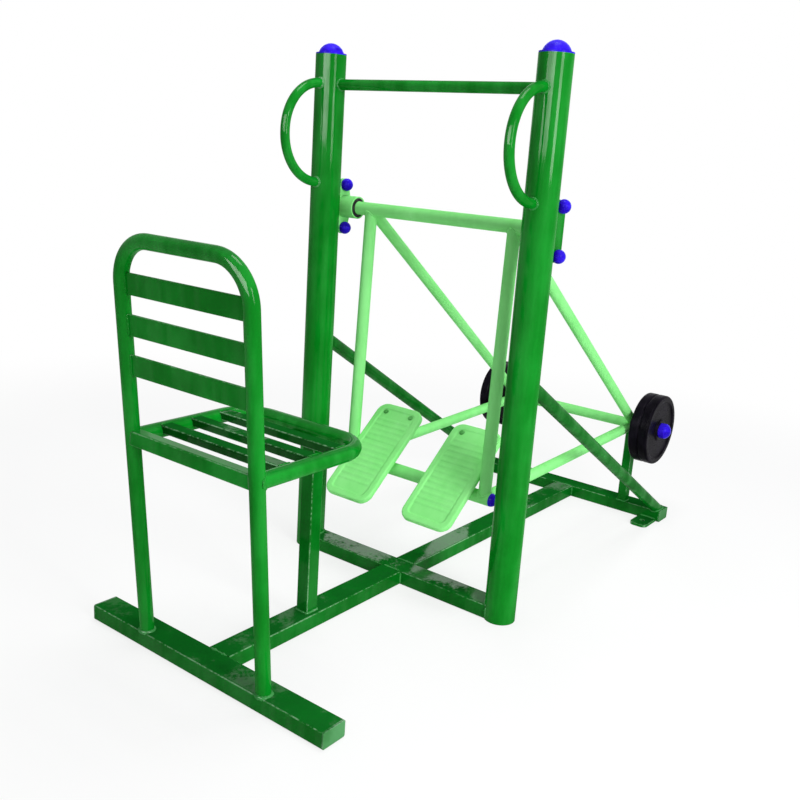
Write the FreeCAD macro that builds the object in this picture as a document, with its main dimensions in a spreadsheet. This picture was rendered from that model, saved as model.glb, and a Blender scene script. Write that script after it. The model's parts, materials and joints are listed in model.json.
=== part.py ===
import FreeCAD, Part
import math
import os
import re
import Sketcher
from FreeCAD import Placement, Rotation, Vector

# Outdoor seated leg press: a welded tube frame with a seat, two posts and a
# swinging frame that carries two foot plates and two pairs of weight discs.
# X runs from the seat to the weights, Y to the sitter's left, Z up.
# The origin is on the floor midway between the two posts.

# Driving sizes in millimetres and degrees
driving_sizes = {
    # floor beams, measured from the plane of the posts
    "beam_width": 60,
    "beam_height": 35,
    "beam_wall": 3,
    "beam_corner": 4,
    "end_plate_thickness": 3,
    "front_reach": 620,
    "front_beam_length": 674,
    "rear_reach": 895,
    "rear_beam_length": 648,
    "rear_foot_length": 78,
    "rear_foot_width": 52,
    "rear_foot_thickness": 8,
    "rear_foot_corner": 16,
    "rear_foot_inset": 7,
    "anchor_hole": 14,
    # posts, top bar, handles and braces
    "post_spacing": 604,
    "post_diameter": 73,
    "post_wall": 3,
    "post_height": 1245,
    "base_plug_thickness": 6,
    "post_cap_diameter": 61,
    "post_cap_rise": 23,
    "post_cap_brim": 3,
    "post_cap_skirt": 25,
    "post_cap_wall": 4,
    "cap_clearance": 0.1,
    "tube_wall": 2.5,
    "top_bar_height": 1178,
    "top_bar_diameter": 25,
    "handle_diameter": 22,
    "handle_reach": 146,
    "handle_top": 1179,
    "handle_drop": 228,
    "handle_bend": 112,
    "brace_diameter": 32,
    "brace_height": 576,
    "brace_foot_height": 20,
    "brace_foot_setback": 17,
    "brace_inset": 18,
    # rest posts under the rear corners of the swing
    "rest_post_size": 28,
    "rest_post_spacing": 398,
    "rest_pad_thickness": 10,
    "rest_pad_corner": 5,
    "rest_gap": 0.3,
    # seat and backrest
    "leg_diameter": 30,
    "leg_spacing": 348,
    "leg_setback": 15,
    "back_lean": 4.2,
    "back_length": 838,
    "back_bend": 83,
    "slat_edge": 2,
    "back_slat_height": 42,
    "back_slat_thickness": 6,
    "upper_slat_drop": 83.249,
    "back_slat_pitch": 78.5,
    "seat_height": 466,
    "seat_front": 362,
    "rim_diameter": 32,
    "rim_bend": 75,
    "rear_bar_height": 30,
    "rear_bar_depth": 26,
    "rear_bar_corner": 4,
    "seat_slat_width": 30,
    "seat_slat_height": 18,
    "seat_slat_corner": 4,
    "seat_slat_lift": 5,
    "support_reach": 334,
    "support_size": 34,
    "support_plate_size": 64,
    "support_plate_thickness": 5,
    # pivot brackets, bearing housings and their bolts
    "pivot_x": 64,
    "pivot_height": 893,
    "bracket_thickness": 12,
    "bracket_offset": 7,
    "bracket_height": 132,
    "bracket_margin": 21,
    "bracket_corner": 9,
    "flange_thickness": 8,
    "ear_radius": 15,
    "bolt_spacing": 106,
    "hub_diameter": 54,
    "hub_length": 55,
    "bearing_outer": 47,
    "bearing_bore": 25,
    "bearing_width": 12,
    "ball_diameter": 7,
    "race_shoulder": 2.1,
    "seal_thickness": 5,
    "seal_inset": 0.5,
    "seal_clearance": 0.3,
    "running_clearance": 0.05,
    "bolt_diameter": 10,
    "bolt_tail": 2,
    "hole_clearance": 0.3,
    "hex_across": 16,
    "head_height": 6,
    "nut_height": 8,
    "bolt_cap_diameter": 31,
    "bolt_cap_rise": 6,
    # swinging frame
    "pivot_tube_diameter": 32,
    "pivot_tube_gap": 2,
    "hanger_diameter": 30,
    "hanger_spacing": 410,
    "swing_tube_diameter": 28,
    "pedal_x": 43,
    "pedal_height": 260,
    "pedal_tube_diameter": 32,
    "pedal_tube_length": 448,
    "tube_cap_plug": 16,
    "rear_x": 876,
    "rear_height": 281,
    "rear_tube_diameter": 30,
    "rear_tube_length": 452,
    # foot plates
    "plate_length": 292,
    "plate_width": 140,
    "plate_thickness": 14,
    "plate_spacing": 240,
    "plate_angle": 40.2,
    "plate_rise": 30.2,
    "plate_shift": 11.2,
    "plate_corner": 28,
    "plate_edge_round": 4,
    "plate_border": 17,
    "panel_corner": 13,
    "recess_depth": 2.5,
    "rib_width": 6,
    "rib_height": 1.8,
    "rib_pitch": 16,
    "rib_margin": 26,
    "rib_end_gap": 4,
    "strap_width": 26,
    "strap_spacing": 80,
    "strap_length": 166,
    "strap_thickness": 16,
    "screw_diameter": 8,
    "screw_depth": 11,
    "screw_head_diameter": 13,
    "screw_head_height": 3.2,
    "screw_margin": 9,
    # weight discs on their axles
    "weight_diameter": 208,
    "weight_thickness": 29,
    "weight_rim": 16,
    "weight_hub": 62,
    "weight_dish": 4,
    "weight_round": 6,
    "axle_diameter": 22,
    "axle_clearance": 0.2,
    "collar_diameter": 52,
    "collar_thickness": 6,
    "axle_nut_across": 33,
    "axle_nut_height": 10,
    "weight_cap_diameter": 44,
    "weight_cap_length": 30,
    "weight_cap_side": 16,
    "weight_cap_wall": 2,
}
seat_slat_count = 3
balls_per_bearing = 9
sides = {"left": 1, "right": -1}
tolerance = 0.01

doc = FreeCAD.newDocument("LegPress")
sheet = doc.addObject("Spreadsheet::Sheet", "Sizes")
for row, (name, value) in enumerate(driving_sizes.items(), start=1):
    sheet.set(f"A{row}", name.replace("_", " "))
    sheet.set(f"B{row}", str(value))
    sheet.setAlias(f"B{row}", name)
doc.recompute()

nodes = {}


def linked(formula):
    """Turn a formula of size names into one that reads the sheet."""
    def to_cell(found):
        word = found.group()
        return f"Sizes.{word}" if word in driving_sizes else word
    return re.sub(r"[A-Za-z_]+", to_cell, str(formula))


def size(formula):
    """Work out a formula of size names from the sheet's cells."""
    return float(sheet.evalExpression(linked(formula)))


def bind(thing, **formulas):
    for prop, formula in formulas.items():
        thing.setExpression(prop, linked(formula))


def place(thing, x=0, y=0, z=0, rotation=Rotation()):
    """Set a rotation and tie the position to the sheet."""
    thing.Placement = Placement(Vector(size(x), size(y), size(z)), rotation)
    for axis, formula in (("x", x), ("y", y), ("z", z)):
        thing.setExpression(f"Placement.Base.{axis}", linked(formula))
    return thing


def named(kind, label):
    thing = doc.addObject(kind, label)
    thing.Label = label
    return thing


def keep(thing, label):
    """Make an object a sub-part under its own label."""
    thing.Label = label
    nodes[label] = thing
    return thing


# Primitives, tubes and cuts

def cylinder(label, diameter, length, x=0, y=0, z=0, rotation=Rotation()):
    thing = named("Part::Cylinder", label)
    bind(thing, Radius=f"({diameter}) / 2", Height=length)
    return place(thing, x, y, z, rotation)


def cut(label, base, *tools):
    thing = named("Part::Cut", label)
    thing.Base = base
    thing.Tool = tools[0] if len(tools) == 1 else group(label + "_tools", tools)
    return thing


def group(label, members):
    thing = named("Part::Compound", label)
    thing.Links = list(members)
    return thing


along_y = Rotation(Vector(1, 0, 0), -90)


def round_tube(label, diameter, length, x, y, z, rotation, wall="tube_wall"):
    """A solid rod for fitting neighbours against, and its bore."""
    rod = cylinder(label + "_rod", diameter, length, x, y, z, rotation)
    bore = cylinder(label + "_bore", f"{diameter} - 2 * {wall}", length, x, y, z, rotation)
    return rod, bore


def slanted(start, end, drift="0"):
    """Length formula and rotation of a rod between points (x, z) that drifts across on its way."""
    (x1, z1), (x2, z2) = start, end
    length = f"hypot({x2} - ({x1}); {drift}; {z2} - ({z1}))"
    run = Vector(size(x2) - size(x1), size(drift), size(z2) - size(z1))
    return length, Rotation(Vector(0, 0, 1), run)


# Sketched bodies

def body(label):
    return named("PartDesign::Body", label)


def sketch(owner, plane, name, lift=None):
    thing = owner.newObject("Sketcher::SketchObject", name)
    origin_plane = [f for f in owner.Origin.OriginFeatures if f.Role == plane][0]
    thing.AttachmentSupport = [(origin_plane, "")]
    thing.MapMode = "FlatFace"
    if lift is not None:
        thing.AttachmentOffset = Placement(Vector(0, 0, size(lift)), Rotation())
        thing.setExpression("AttachmentOffset.Base.z", linked(lift))
    return thing


def dimension(drawing, kind, args, formula):
    """Add a dimension whose value follows a formula."""
    index = drawing.addConstraint(Sketcher.Constraint(kind, *args, size(formula)))
    drawing.setExpression(f"Constraints[{index}]", linked(formula))


def pin_point(drawing, geometry, end, x, y):
    """Fix a sketch point at formulas for its two coordinates."""
    for kind, axis, formula in (("DistanceX", -2, x), ("DistanceY", -1, y)):
        if str(formula) == "0":
            drawing.addConstraint(Sketcher.Constraint("PointOnObject", geometry, end, axis))
        else:
            dimension(drawing, kind, (-1, 1, geometry, end), formula)


def outline(drawing, points, closed=True):
    """Draw points joined by lines, or by arcs where a point carries a radius.

    A point is (x, y) or (x, y, radius): the radius belongs to the stretch that
    leaves the point, positive where it turns to the left.
    """
    count = len(points) if closed else len(points) - 1
    spots = [Vector(size(p[0]), size(p[1]), 0) for p in points]
    made = []
    for index in range(count):
        start, end = spots[index], spots[(index + 1) % len(points)]
        if len(points[index]) == 2:
            made.append(drawing.addGeometry(Part.LineSegment(start, end), False))
            continue
        radius = size(points[index][2])
        chord = end - start
        side = Vector(-chord.y, chord.x, 0).normalize() * math.copysign(1, radius)
        rise = math.sqrt(max(radius ** 2 - (chord.Length / 2) ** 2, 0))
        centre = start + chord / 2 + side * rise
        middle = centre - side * abs(radius)
        made.append(drawing.addGeometry(Part.Arc(start, middle, end), False))
    ends = {}
    for index, geometry in enumerate(made):
        turned = len(points[index]) == 3 and size(points[index][2]) < 0
        ends[index] = (2, 1) if turned else (1, 2)
    for index, geometry in enumerate(made):
        pin_point(drawing, geometry, ends[index][0], *points[index][:2])
        if index + 1 < len(made) or closed:
            after = (index + 1) % len(made)
            drawing.addConstraint(Sketcher.Constraint(
                "Coincident", geometry, ends[index][1], made[after], ends[after][0]))
        else:
            pin_point(drawing, geometry, ends[index][1], *points[-1][:2])
        if len(points[index]) == 3:
            formula = str(points[index][2]).lstrip("-")
            dimension(drawing, "Radius", (geometry,), formula)


def rounded_rectangle(drawing, length, width, corner):
    """A rectangle about the sketch's origin with round corners."""
    x, y, corner = f"({length}) / 2", f"({width}) / 2", f"({corner})"
    inner_x, inner_y = f"{x} - {corner}", f"{y} - {corner}"
    outline(drawing, [
        (f"-({inner_x})", f"-{y}"), (inner_x, f"-{y}", corner),
        (x, f"-({inner_y})"), (x, inner_y, corner),
        (inner_x, y), (f"-({inner_x})", y, corner),
        (f"-{x}", inner_y), (f"-{x}", f"-({inner_y})", corner)])


def circle(drawing, x, y, diameter):
    centre = Vector(size(x), size(y), 0)
    index = drawing.addGeometry(Part.Circle(centre, Vector(0, 0, 1), size(diameter) / 2), False)
    pin_point(drawing, index, 3, x, y)
    dimension(drawing, "Diameter", (index,), diameter)


def pad(owner, drawing, length, name, centred=False, backward=False):
    thing = owner.newObject("PartDesign::Pad", name)
    thing.Profile = drawing
    bind(thing, Length=length)
    thing.Midplane = centred
    thing.Reversed = backward
    return thing


def pocket(owner, drawing, depth, name, backward=False):
    thing = owner.newObject("PartDesign::Pocket", name)
    thing.Profile = drawing
    bind(thing, Length=depth)
    thing.Reversed = backward
    return thing


def turned(label, points):
    """A body turned about its own Z axis from an outline of (radius, height)."""
    owner = body(label)
    drawing = sketch(owner, "XZ_Plane", label + "_outline")
    outline(drawing, points)
    spin = owner.newObject("PartDesign::Revolution", label + "_spin")
    spin.Profile = drawing
    spin.ReferenceAxis = (drawing, ["V_Axis"])
    spin.Angle = 360
    return owner


def bent(label, diameter, path_plane, profile_plane, points, hollow):
    """A round bar or tube bent along a path that starts at the body's origin."""
    owner = body(label)
    path = sketch(owner, path_plane, label + "_path")
    outline(path, points, closed=False)
    section = sketch(owner, profile_plane, label + "_section")
    circle(section, 0, 0, diameter)
    if hollow:
        circle(section, 0, 0, f"{diameter} - 2 * tube_wall")
    doc.recompute()
    pipe = owner.newObject("PartDesign::AdditivePipe", label + "_pipe")
    pipe.Profile = section
    pipe.Spine = (path, [f"Edge{n + 1}" for n in range(path.GeometryCount)])
    return owner


along = {"x": "YZ_Plane", "y": "XZ_Plane", "z": "XY_Plane"}


def flat_bar(label, run, width, height, length, corner, x, y, z, rotation=Rotation(), wall=None):
    """A bar along one axis, drawn about the middle of its section, hollow where it has a wall."""
    owner = body(label)
    drawing = sketch(owner, along[run], label + "_section")
    rounded_rectangle(drawing, width, height, corner)
    if wall:
        rounded_rectangle(drawing, f"{width} - 2 * {wall}", f"{height} - 2 * {wall}",
                          f"{corner} - {wall}")
    pad(owner, drawing, length, label + "_pad", backward=run == "y")
    return place(owner, x, y, z, rotation)


def square_tube(label, run, width, height, length, x, y, z):
    """A solid bar for fitting neighbours against, and the tube of the same outline."""
    sizes = (run, width, height, length, "beam_corner", x, y, z)
    return flat_bar(label + "_bar", *sizes), flat_bar(label + "_tube", *sizes, wall="beam_wall")


post_y = {name: f"{side} * post_spacing / 2" for name, side in sides.items()}


# Floor beams

def floor_beams():
    bars = {}
    bars["front"], tube = square_tube(
        "front_foot_beam", "y", "beam_width", "beam_height", "front_beam_length",
        "-front_reach", "-front_beam_length / 2", "beam_height / 2")
    keep(tube, "front_foot_beam")
    bars["rear"], tube = square_tube(
        "rear_foot_beam", "y", "beam_width", "beam_height", "rear_beam_length",
        "rear_reach", "-rear_beam_length / 2", "beam_height / 2")
    keep(tube, "rear_foot_beam")
    bars["cross"], tube = square_tube(
        "cross_beam", "y", "beam_width", "beam_height", "post_spacing",
        "0", "-post_spacing / 2", "beam_height / 2")
    keep(cut("cross_beam", tube, *post_rods.values()), "cross_beam")
    spans = {"front_main_beam": ("-front_reach + beam_width / 2", "front_reach - beam_width"),
             "rear_main_beam": ("beam_width / 2", "rear_reach - beam_width")}
    for label, (start, length) in spans.items():
        bars[label], tube = square_tube(label, "x", "beam_width", "beam_height", length,
                                        start, "0", "beam_height / 2")
        keep(tube, label)
    plates = []
    for end, side in sides.items():
        for beam, reach in (("front", "-front_reach"), ("rear", "rear_reach")):
            length = f"{beam}_beam_length"
            start = f"{length} / 2" if side > 0 else f"-{length} / 2 - end_plate_thickness"
            plates.append(flat_bar(f"{end}_{beam}_end_plate", "y", "beam_width", "beam_height",
                                   "end_plate_thickness", "beam_corner", reach, start, "beam_height / 2"))
    keep(group("beam_end_plates", plates), "beam_end_plates")
    return bars


def rear_feet():
    """Flat feet with round corners in front of the rear beam's ends."""
    feet = []
    for end, side in sides.items():
        foot = body(f"{end}_rear_foot")
        drawing = sketch(foot, "XY_Plane", f"{end}_rear_foot_outline")
        reach, half = "rear_foot_length", "rear_foot_width / 2"
        corner = "rear_foot_corner"
        outline(drawing, [
            ("0", half), (f"-{reach} + {corner}", half, corner),
            (f"-{reach}", f"{half} - {corner}"), (f"-{reach}", f"-{half} + {corner}", corner),
            (f"-{reach} + {corner}", f"-{half}"), ("0", f"-{half}")])
        circle(drawing, "-rear_foot_length / 2", "0", "anchor_hole")
        pad(foot, drawing, "rear_foot_thickness", f"{end}_rear_foot_pad")
        place(foot, "rear_reach - beam_width / 2",
              f"{side} * (rear_beam_length / 2 - rear_foot_inset - rear_foot_width / 2)", 0)
        feet.append(foot)
    keep(group("rear_feet", feet), "rear_feet")


# Posts with their caps, top bar, handles and braces

def posts():
    """Round posts, each closed at the floor by a welded disc."""
    rods, plugs = {}, []
    for end in sides:
        label = f"{end}_post"
        rods[end], bore = round_tube(label, "post_diameter", "post_height", 0, post_y[end], 0,
                                     Rotation(), "post_wall")
        keep(cut(label, rods[end], bore), label)
        plugs.append(cylinder(f"{end}_base_plug", "post_diameter - 2 * post_wall", "base_plug_thickness",
                              0, post_y[end], 0))
    keep(group("post_base_plugs", plugs), "post_base_plugs")
    return rods


def post_caps():
    """Domed plugs with a skirt inside each post."""
    caps = []
    dome, rise = "post_cap_diameter / 2", "post_cap_rise"
    room, vault = f"({dome} - post_cap_wall)", "(post_cap_rise - post_cap_wall)"
    skirt = "post_diameter / 2 - post_wall - cap_clearance"
    brim, rim = "post_cap_brim", "post_diameter / 2"
    outer_arc = f"(({dome})^2 + {rise}^2) / (2 * {rise})"
    inner_arc = f"-(({room}^2 + {vault}^2) / (2 * {vault}))"
    for end in sides:
        cap = turned(f"{end}_post_cap", [
            ("0", f"{brim} + {rise}"), ("0", f"{brim} + {vault}", inner_arc), (room, brim),
            (room, "-post_cap_skirt"), (skirt, "-post_cap_skirt"), (skirt, "0"), (rim, "0"), (rim, brim),
            (dome, brim, outer_arc)])
        place(cap, 0, post_y[end], "post_height")
        caps.append(cap)
    keep(group("post_caps", caps), "post_caps")


def top_bar():
    rod, bore = round_tube("top_bar", "top_bar_diameter", "post_spacing",
                           0, "-post_spacing / 2", "top_bar_height", along_y)
    keep(cut("top_bar", rod, bore, *post_rods.values()), "top_bar")


def handles():
    """Bent grips on the seat side of each post."""
    stub = "handle_reach - handle_bend"
    path = [("0", "0"), (f"-({stub})", "0", "handle_bend"),
            ("-handle_reach", "-handle_bend"),
            ("-handle_reach", "-(handle_drop - handle_bend)", "handle_bend"),
            (f"-({stub})", "-handle_drop"), ("0", "-handle_drop")]
    for end in sides:
        label = f"{end}_handle"
        bar = bent(label + "_bar", "handle_diameter", "XZ_Plane", "YZ_Plane", path, True)
        place(bar, 0, post_y[end], "handle_top")
        keep(cut(label, bar, post_rods[end]), label)


def braces():
    start = ("0", "brace_height")
    finish = ("rear_reach + brace_foot_setback", "brace_foot_height")
    for end, side in sides.items():
        label = f"{end}_brace"
        drift = f"{side} * (rear_beam_length / 2 - brace_inset - post_spacing / 2)"
        length, rotation = slanted(start, finish, drift)
        rod, bore = round_tube(label, "brace_diameter", length, 0, post_y[end], "brace_height", rotation)
        keep(cut(label, rod, bore, post_rods[end], beam_bars["rear"]), label)


def rest_posts():
    """Short posts on the rear beam, with rubber pads under the swing."""
    pad_top = "rear_height - rear_tube_diameter / 2 - rest_gap"
    post_top = f"{pad_top} - rest_pad_thickness"
    middle = "rear_reach - beam_width / 2 + rest_post_size / 2"
    pads = []
    for end, side in sides.items():
        across = f"{side} * rest_post_spacing / 2"
        tube = square_tube(f"{end}_rest_post", "z", "rest_post_size", "rest_post_size",
                           f"({post_top}) - beam_height", middle, across, "beam_height")[1]
        keep(tube, f"{end}_rest_post")
        pads.append(flat_bar(f"{end}_rest_pad", "z", "rest_post_size", "rest_post_size",
                             "rest_pad_thickness", "rest_pad_corner", middle, across, post_top))
    keep(group("rest_pads", pads), "rest_pads")


# Seat and backrest

leg_foot_x = "-front_reach - leg_setback"
lean_slope = "tan(back_lean * 1deg)"
back_top = "beam_height / 2 + back_length * cos(back_lean * 1deg)"
upright = Rotation(Vector(0, 1, 0), -size("back_lean"))


def leg_x(height):
    """Where the leaning legs' axis is at a height."""
    return f"{leg_foot_x} - ({height} - beam_height) * {lean_slope}"


def seat_back_frame():
    """One tube bent over both legs, leaning away from the posts."""
    path = [("0", "0"), ("0", "back_length - back_bend", "-back_bend"),
            ("back_bend", "back_length"), ("leg_spacing - back_bend", "back_length", "-back_bend"),
            ("leg_spacing", "back_length - back_bend"), ("leg_spacing", "0")]
    shapes = []
    for label, hollow in (("seat_back_rod", False), ("seat_back_tube", True)):
        shape = bent(label, "leg_diameter", "YZ_Plane", "XY_Plane", path, hollow)
        shapes.append(place(shape, leg_x("beam_height / 2"), "-leg_spacing / 2", "beam_height / 2", upright))
    keep(cut("seat_back_frame", shapes[1], beam_bars["front"]), "seat_back_frame")
    return shapes[0]


def back_slats():
    """Flat bars welded between the legs, in the plane of the backrest."""
    for step, level in enumerate(("upper", "middle", "lower")):
        label = f"{level}_back_slat"
        height = f"{back_top} - upper_slat_drop - {step} * back_slat_pitch"
        bar = flat_bar(label + "_bar", "y", "back_slat_thickness", "back_slat_height", "leg_spacing",
                       "slat_edge", leg_x(height), "-leg_spacing / 2", height, upright)
        keep(cut(label, bar, back_rod), label)


def seat_rim():
    """A tube bent round the seat, from one leg to the other."""
    rear = leg_x("seat_height")
    depth = f"-seat_front - ({rear})"
    path = [("0", "0"), (f"{depth} - rim_bend", "0", "rim_bend"),
            (depth, "rim_bend"), (depth, "leg_spacing - rim_bend", "rim_bend"),
            (f"{depth} - rim_bend", "leg_spacing"), ("0", "leg_spacing")]
    shapes = []
    for label, hollow in (("seat_rim_rod", False), ("seat_rim_tube", True)):
        shape = bent(label, "rim_diameter", "XY_Plane", "YZ_Plane", path, hollow)
        shapes.append(place(shape, rear, "-leg_spacing / 2", "seat_height"))
    keep(cut("seat_rim", shapes[1], back_rod), "seat_rim")
    return shapes[0]


def seat_slats():
    """Flat tubes across the rim, evenly spaced, and the square tube at the back."""
    rear = leg_x("seat_height")
    bar = flat_bar("seat_rear_bar_tube", "y", "rear_bar_depth", "rear_bar_height", "leg_spacing",
                   "rear_bar_corner", rear, "-leg_spacing / 2", "seat_height", wall="tube_wall")
    keep(cut("seat_rear_bar", bar, back_rod, rim_rod), "seat_rear_bar")
    first = f"({rear} + rear_bar_depth / 2)"
    clear = f"(-seat_front - rim_diameter / 2 - {first})"
    gap = f"(({clear} - {seat_slat_count} * seat_slat_width) / {seat_slat_count + 1})"
    slats = []
    for step in range(seat_slat_count):
        middle = f"{first} + {gap} + seat_slat_width / 2 + {step} * ({gap} + seat_slat_width)"
        slat = flat_bar(f"seat_slat_{step}_tube", "y", "seat_slat_width", "seat_slat_height",
                        "leg_spacing", "seat_slat_corner", middle, "-leg_spacing / 2",
                        "seat_height + seat_slat_lift", wall="tube_wall")
        slats.append(cut(f"seat_slat_{step}", slat, rim_rod))
    keep(group("seat_slats", slats), "seat_slats")


def seat_support():
    """A square post on the main beam with a plate under the rim."""
    plate_top = "seat_height - rim_diameter / 2"
    post_top = f"{plate_top} - support_plate_thickness"
    tube = square_tube("seat_support_post", "z", "support_size", "support_size", f"{post_top} - beam_height",
                       "-support_reach", "0", "beam_height")[1]
    keep(tube, "seat_support_post")
    plate = flat_bar("seat_support_plate", "z", "support_plate_size", "support_plate_size",
                     "support_plate_thickness", "beam_corner", "-seat_front", "0", post_top)
    keep(plate, "seat_support_plate")


# Pivot brackets and bearings. Each piece is drawn about its own Z axis, which
# points from the bracket's inner face towards the middle of the machine.

def inward(end):
    """Turn a piece's Z axis to face the middle of the machine."""
    return Rotation(Vector(1, 0, 0), 90 * sides[end])


def inner_face(end, offset="0"):
    """Distance across the machine to a plane measured in from the bracket."""
    return f"{sides[end]} * (post_spacing / 2 + bracket_offset - bracket_thickness / 2 - ({offset}))"


def pivot_brackets():
    for end in sides:
        label = f"{end}_pivot_bracket"
        owner = body(label + "_plate")
        drawing = sketch(owner, "XZ_Plane", label + "_outline")
        rear = "pivot_x + bracket_margin"
        top, bottom = "bracket_height / 2", "-bracket_height / 2"
        corner = "bracket_corner"
        outline(drawing, [
            ("0", bottom), (f"{rear} - {corner}", bottom, corner),
            (rear, f"{bottom} + {corner}"), (rear, f"{top} - {corner}", corner),
            (f"{rear} - {corner}", top), ("0", top)])
        for sign in ("", "-"):
            circle(drawing, "pivot_x", f"{sign}bolt_spacing / 2", "bolt_diameter + 2 * hole_clearance")
        pad(owner, drawing, "bracket_thickness", label + "_pad", centred=True)
        place(owner, 0, f"{sides[end]} * (post_spacing / 2 + bracket_offset)", "pivot_height")
        keep(cut(label, owner, post_rods[end]), label)


def bearing_housings():
    """Two-bolt flanged housings: an oval flange with a bored hub."""
    for end in sides:
        label = f"{end}_bearing_housing"
        owner = body(label)
        drawing = sketch(owner, "XY_Plane", label + "_flange")
        hub, ear, reach = size("hub_diameter / 2"), size("ear_radius"), size("bolt_spacing / 2")
        lean = math.asin((hub - ear) / reach)
        ear_x, ear_y = ear * math.cos(lean), reach + ear * math.sin(lean)
        hub_x, hub_y = hub * math.cos(lean), hub * math.sin(lean)
        spots = [(hub_x, -hub_y), (hub_x, hub_y), (ear_x, ear_y), (-ear_x, ear_y),
                 (-hub_x, hub_y), (-hub_x, -hub_y), (-ear_x, -ear_y), (ear_x, -ear_y)]
        arcs = {0: "hub_diameter / 2", 2: "ear_radius", 4: "hub_diameter / 2", 6: "ear_radius"}
        outline(drawing, [spot + ((arcs[n],) if n in arcs else ()) for n, spot in enumerate(spots)])
        for sign in ("", "-"):
            circle(drawing, "0", f"{sign}bolt_spacing / 2", "bolt_diameter + 2 * hole_clearance")
        pad(owner, drawing, "flange_thickness", label + "_flange_pad")
        ring = sketch(owner, "XY_Plane", label + "_hub")
        circle(ring, 0, 0, "hub_diameter")
        pad(owner, ring, "hub_length", label + "_hub_pad")
        seat = sketch(owner, "XY_Plane", label + "_bore", "hub_length - bearing_width - seal_thickness")
        circle(seat, 0, 0, "bearing_outer")
        pocket(owner, seat, "bearing_width + seal_thickness", label + "_seat", backward=True)
        relief = sketch(owner, "XY_Plane", label + "_relief", "flange_thickness")
        circle(relief, 0, 0, "bearing_outer - 2 * beam_wall")
        pocket(owner, relief, "hub_length", label + "_relief_cut", backward=True)
        place(owner, "pivot_x", inner_face(end), "pivot_height", inward(end))
        keep(owner, label)


def bearings():
    """Ball bearings in the hubs and black seals at their mouths."""
    race = "(bearing_outer + bearing_bore) / 4"
    land = "race_shoulder"
    groove = "ball_diameter / 2 + running_clearance"
    start = "hub_length - seal_thickness - bearing_width"
    outer_rings, inner_rings, seals, balls = [], [], [], []
    for end in sides:
        for ring, edge, sign in (("outer", "bearing_outer / 2 - running_clearance", 1),
                                 ("inner", "bearing_bore / 2 + running_clearance", -1)):
            face = f"{race} + {sign} * {land}"
            flat = f"sqrt(({groove})^2 - ({land})^2)"
            middle = "bearing_width / 2"
            turn = groove if sign > 0 else f"-({groove})"
            owner = turned(f"{end}_bearing_{ring}_ring", [
                (edge, "0"), (face, "0"), (face, f"{middle} - {flat}", turn),
                (face, f"{middle} + {flat}"), (face, "bearing_width"), (edge, "bearing_width")])
            place(owner, "pivot_x", inner_face(end, start), "pivot_height", inward(end))
            (outer_rings if sign > 0 else inner_rings).append(owner)
        seal = turned(f"{end}_bearing_seal", [
            ("bearing_bore / 2 + seal_clearance", "0"), ("bearing_outer / 2 - running_clearance", "0"),
            ("bearing_outer / 2 - running_clearance", "seal_thickness - seal_inset"),
            ("bearing_bore / 2 + seal_clearance", "seal_thickness - seal_inset")])
        place(seal, "pivot_x", inner_face(end, "hub_length - seal_thickness"), "pivot_height", inward(end))
        seals.append(seal)
        for step in range(balls_per_bearing):
            angle = f"{step} * 360deg / {balls_per_bearing}"
            ball = named("Part::Sphere", f"{end}_ball_{step}")
            bind(ball, Radius="ball_diameter / 2")
            place(ball, f"pivot_x + {race} * cos({angle})", inner_face(end, f"{start} + bearing_width / 2"),
                  f"pivot_height + {race} * sin({angle})")
            balls.append(ball)
    keep(group("bearing_outer_rings", outer_rings), "bearing_outer_rings")
    keep(group("bearing_inner_rings", inner_rings), "bearing_inner_rings")
    keep(group("bearing_seals", seals), "bearing_seals")
    keep(group("bearing_balls", balls), "bearing_balls")


def hexagon(drawing, across):
    """A regular hexagon about the sketch's origin, flats up and down."""
    half = f"({across}) / 2"
    corner = f"({across}) / sqrt(3)"
    shoulder = f"({corner}) / 2"
    outline(drawing, [(corner, "0"), (shoulder, half), (f"-{shoulder}", half),
                      (f"-({corner})", "0"), (f"-{shoulder}", f"-{half}"), (shoulder, f"-{half}")])


def bolt_places(end, offset):
    """The two bolt axes of one bracket at a distance in from its inner face."""
    for sign, name in ((1, "upper"), (-1, "lower")):
        yield name, "pivot_x", inner_face(end, offset), f"pivot_height + {sign} * bolt_spacing / 2"


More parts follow.
